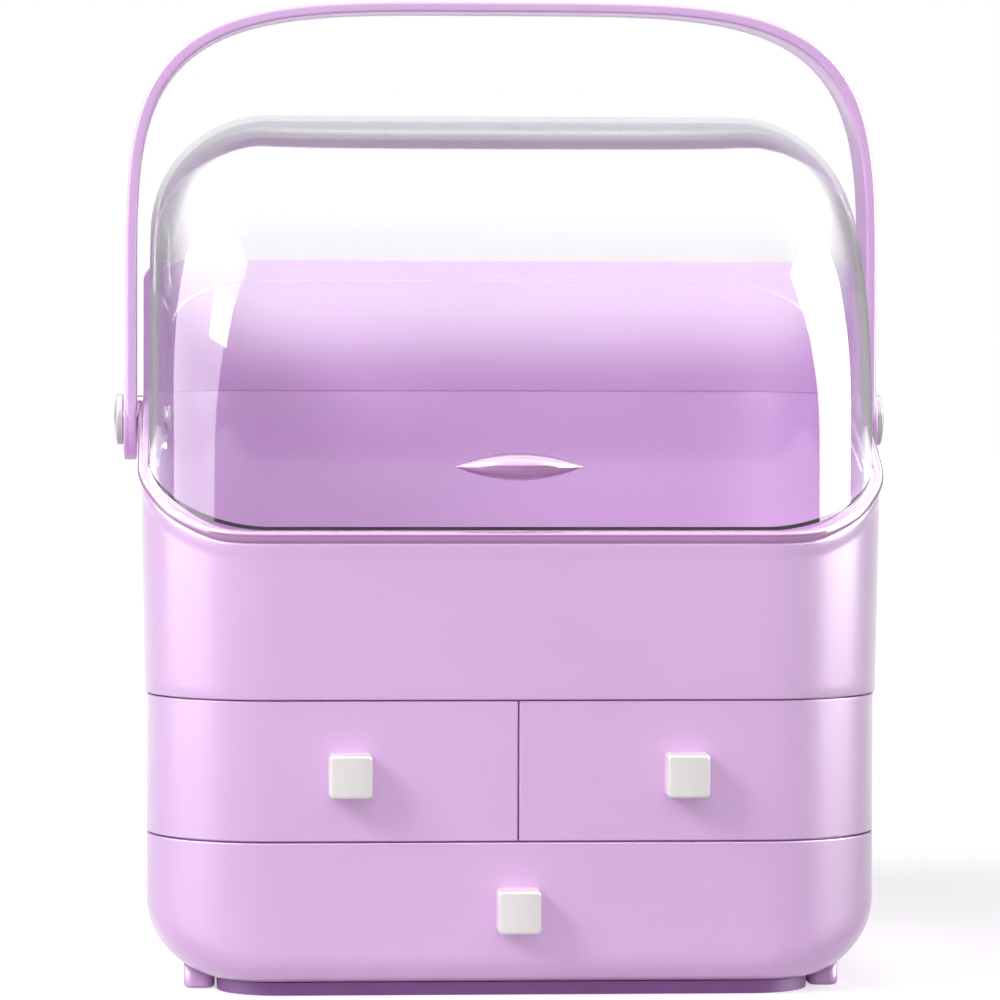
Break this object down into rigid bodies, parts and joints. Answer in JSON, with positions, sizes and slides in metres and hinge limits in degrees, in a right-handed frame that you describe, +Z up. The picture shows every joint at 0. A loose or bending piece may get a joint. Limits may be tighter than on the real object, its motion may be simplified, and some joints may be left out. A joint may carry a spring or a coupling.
{
  "type": "makeup organizer",
  "caption": "Dustproof makeup organizer with a clear roll-back cover over an open compartment, small drawers above a wide one, and a swinging strap handle.",
  "frame": {"origin": "on the surface that the organizer stands on, straight below the middle of the hub axis", "axes": "+X towards the object's right as seen from the front, +Y from the front to the back, +Z up"},
  "size_m": [0.2918, 0.2448, 0.3616],
  "materials": {
    "lilac_plastic": "smooth moulded lavender plastic with a soft gloss",
    "lilac_trim": "smooth lavender plastic with a brighter gloss",
    "lilac_handle": "smooth lavender plastic, slightly flexible",
    "lilac_base": "lavender plastic with a matt underside",
    "drawer_plastic": "pale moulded plastic",
    "clear_plastic": "clear polished plastic with a faint violet edge",
    "ivory_plastic": "warm white plastic with a satin gloss",
    "steel": "plain steel"
  },
  "bodies": {
    "base": {"lower_case": "lilac_plastic", "middle_shelf": "lilac_plastic", "drawer_divider": "lilac_plastic", "upper_case": "lilac_plastic", "rim_ring": "lilac_trim", "rear_hood": "lilac_plastic", "base_plinth": "lilac_base", "side_foot_left": "lilac_base", "side_foot_right": "lilac_base", "deck_screws": "steel", "plinth_screws": "steel", "hub_cap_left": "ivory_plastic", "hub_cap_right": "ivory_plastic", "hub_pin_left": "steel", "hub_pin_right": "steel", "hub_spacer_left": "lilac_trim", "hub_spacer_right": "lilac_trim", "hub_nut_left": "ivory_plastic", "hub_nut_right": "ivory_plastic"},
    "cover": {"clear_cover": "clear_plastic", "cover_pull": "lilac_trim"},
    "handle": {"handle": "lilac_handle"},
    "drawer_left": {"drawer_front_left": "lilac_plastic", "drawer_box_left": "drawer_plastic", "knob_left": "ivory_plastic", "knob_screw_left": "steel"},
    "drawer_right": {"drawer_front_right": "lilac_plastic", "drawer_box_right": "drawer_plastic", "knob_right": "ivory_plastic", "knob_screw_right": "steel"},
    "drawer_wide": {"drawer_front_wide": "lilac_plastic", "drawer_box_wide": "drawer_plastic", "knob_wide": "ivory_plastic", "knob_screw_wide": "steel"}
  },
  "joints": [
    {"name": "cover_roll", "type": "hinge", "parent": "base", "child": "cover", "pos_m": [0, 0, 0.2045], "axis": [-1, 0, 0], "range_deg": [0, 80]},
    {"name": "handle_swing", "type": "hinge", "parent": "base", "child": "handle", "pos_m": [0, 0, 0.2045], "axis": [1, 0, 0], "range_deg": [-118, 118]},
    {"name": "drawer_left_slide", "type": "slide", "parent": "base", "child": "drawer_left", "axis": [0, -1, 0], "range_m": [0, 0.15]},
    {"name": "drawer_right_slide", "type": "slide", "parent": "base", "child": "drawer_right", "axis": [0, -1, 0], "range_m": [0, 0.15]},
    {"name": "drawer_wide_slide", "type": "slide", "parent": "base", "child": "drawer_wide", "axis": [0, -1, 0], "range_m": [0, 0.15]}
  ]
}
